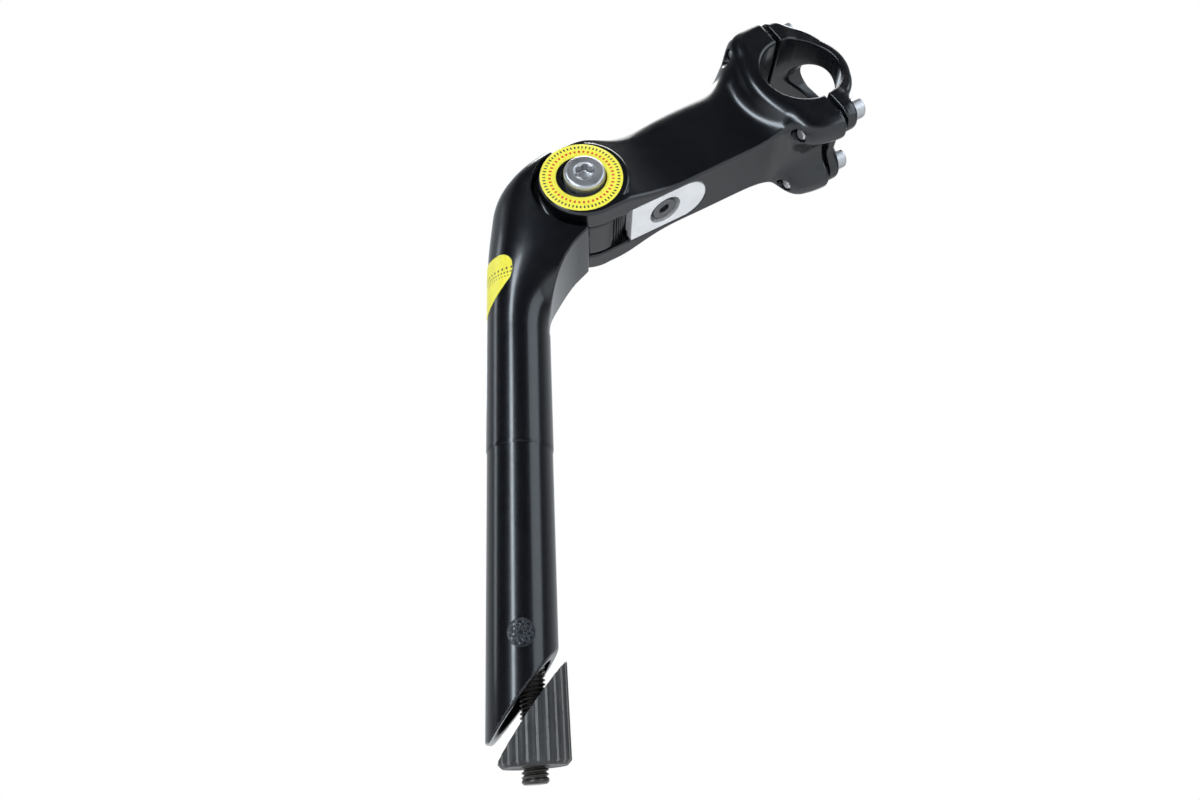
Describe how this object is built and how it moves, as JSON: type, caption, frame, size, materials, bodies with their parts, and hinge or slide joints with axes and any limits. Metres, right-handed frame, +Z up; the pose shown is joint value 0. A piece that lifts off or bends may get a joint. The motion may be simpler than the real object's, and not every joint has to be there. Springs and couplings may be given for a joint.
{
  "type": "adjustable quill stem",
  "caption": "Adjustable bicycle quill stem: slanted expander quill, toothed tilting arm with a lock wedge, and an open-faced handlebar clamp.",
  "frame": {"origin": "on the quill's axis at the insertion mark, where the machined 22.2 mm section starts", "axes": "+Z up the quill's axis, +X forward along the bicycle, so the arm lies in the XZ plane"},
  "size_m": [0.1484, 0.0418, 0.2833],
  "materials": {
    "black_alloy": "semi-gloss black powder coat",
    "black_steel": "black oxide",
    "zinc_steel": "bright zinc, turned",
    "cast_wedge": "dark, worn on the ribs",
    "bare_alloy": "fine matt, bead blasted",
    "bush_plastic": "moulded",
    "label": "printed yellow film"
  },
  "bodies": {
    "quill": {"quill_body": "black_alloy", "quill_label": "label", "pivot_bush_left": "bush_plastic", "pivot_bush_right": "bush_plastic"},
    "draw_washer": {"expander_washer": "zinc_steel"},
    "draw_bolt": {"expander_bolt": "black_steel"},
    "wedge": {"expander_wedge": "cast_wedge"},
    "arm": {"arm_body": "black_alloy", "pivot_bolt": "zinc_steel", "pivot_sleeve": "zinc_steel", "pivot_label": "label"},
    "lock_plate": {"lock_wedge": "bare_alloy"},
    "lock_ring": {"lock_washer": "zinc_steel"},
    "lock_screw": {"lock_bolt": "zinc_steel"},
    "front": {"faceplate": "black_alloy"},
    "screw_upper_left": {"face_bolt_upper_left": "zinc_steel"},
    "screw_lower_left": {"face_bolt_lower_left": "zinc_steel"},
    "screw_upper_right": {"face_bolt_upper_right": "zinc_steel"},
    "screw_lower_right": {"face_bolt_lower_right": "zinc_steel"}
  },
  "joints": [
    {"name": "arm_tilt", "type": "hinge", "parent": "quill", "child": "arm", "pos_m": [0.026, 0, 0.102], "axis": [0, -1, 0], "range_deg": [-25, 35]},
    {"name": "expander_lean", "type": "hinge", "parent": "quill", "child": "draw_washer", "pos_m": [0, 0, 0.06], "axis": [0, 1, 0], "range_deg": [0, 1.2]},
    {"name": "expander_turn", "type": "hinge", "parent": "draw_washer", "child": "draw_bolt", "pos_m": [0, 0, 0.06], "axis": [-0.0209, 0, 0.9998], "range_deg": [-860, 1150]},
    {"name": "wedge_draw", "type": "slide", "parent": "draw_washer", "child": "wedge", "axis": [-0.0209, 0, 0.9998], "range_m": [-0.004, 0.003]},
    {"name": "lock_turn", "type": "hinge", "parent": "lock_ring", "child": "lock_screw", "pos_m": [0.05487, 0, 0.10345], "axis": [-0.4602, 0, 0.8878], "range_deg": [0, 229]},
    {"name": "lock_feed", "type": "slide", "parent": "arm", "child": "lock_ring", "axis": [-0.4602, 0, 0.8878], "range_m": [0, 0.00064]},
    {"name": "lock_slide", "type": "slide", "parent": "arm", "child": "lock_plate", "axis": [-0.9532, 0, 0.3024], "range_m": [0, 0.0009]},
    {"name": "faceplate_release", "type": "slide", "parent": "arm", "child": "front", "axis": [0.8878, 0, 0.4602], "range_m": [0, 0.018]},
    {"name": "face_turn_upper_left", "type": "hinge", "parent": "front", "child": "screw_upper_left", "pos_m": [0.10872, 0.0145, 0.1745], "axis": [0.8878, 0, 0.4602], "range_deg": [0, 8090]},
    {"name": "face_turn_lower_left", "type": "hinge", "parent": "front", "child": "screw_lower_left", "pos_m": [0.13053, 0.0145, 0.13242], "axis": [0.8878, 0, 0.4602], "range_deg": [0, 8090]},
    {"name": "face_turn_upper_right", "type": "hinge", "parent": "front", "child": "screw_upper_right", "pos_m": [0.10872, -0.0145, 0.1745], "axis": [0.8878, 0, 0.4602], "range_deg": [0, 8090]},
    {"name": "face_turn_lower_right", "type": "hinge", "parent": "front", "child": "screw_lower_right", "pos_m": [0.13053, -0.0145, 0.13242], "axis": [0.8878, 0, 0.4602], "range_deg": [0, 8090]}
  ],
  "couplings": [
    {"joint": "wedge_draw", "follows": "expander_turn", "m_per_rad": -0.00019894},
    {"joint": "lock_feed", "follows": "lock_turn", "m_per_rad": 0.00015915},
    {"joint": "lock_slide", "follows": "lock_turn", "m_per_rad": 0.00022508},
    {"joint": "faceplate_release", "follows": "face_turn_upper_left", "m_per_rad": 0.00012732},
    {"joint": "face_turn_lower_left", "follows": "face_turn_upper_left", "ratio": 1},
    {"joint": "face_turn_upper_right", "follows": "face_turn_upper_left", "ratio": 1},
    {"joint": "face_turn_lower_right", "follows": "face_turn_upper_left", "ratio": 1}
  ]
}
